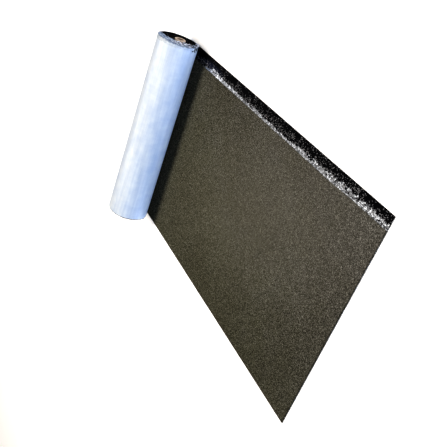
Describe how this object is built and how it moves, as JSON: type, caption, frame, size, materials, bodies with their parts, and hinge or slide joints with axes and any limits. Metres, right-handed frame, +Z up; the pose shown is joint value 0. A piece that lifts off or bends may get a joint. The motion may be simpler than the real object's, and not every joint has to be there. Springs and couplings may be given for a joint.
{
  "type": "roll of waterproofing membrane",
  "caption": "Bitumen roofing sheet with a granule surface, wound on a cardboard core and partly unrolled flat; a bare selvedge runs along one edge and a film covers the underside.",
  "frame": {"origin": "middle of the footprint, on the floor", "axes": "+X from the coil to the free end of the sheet, +Y along the coil's axis towards the selvedge edge, +Z up from the floor"},
  "size_m": [1.6359, 1.012, 0.216],
  "materials": {
    "membrane": "matt bitumen with dark olive-grey mineral granules, bare black on the selvedge and the cut ends",
    "release_film": "thin light-blue release film, glossy, drawn tight over the coil",
    "selvedge_film": "crinkled clear film strip that shines silver",
    "core_tube": "plain spiral-wound board with raw cut ends"
  },
  "bodies": {
    "root": {"membrane": "membrane", "release_film": "release_film", "selvedge_film": "selvedge_film", "core_tube": "core_tube"}
  },
  "joints": []
}
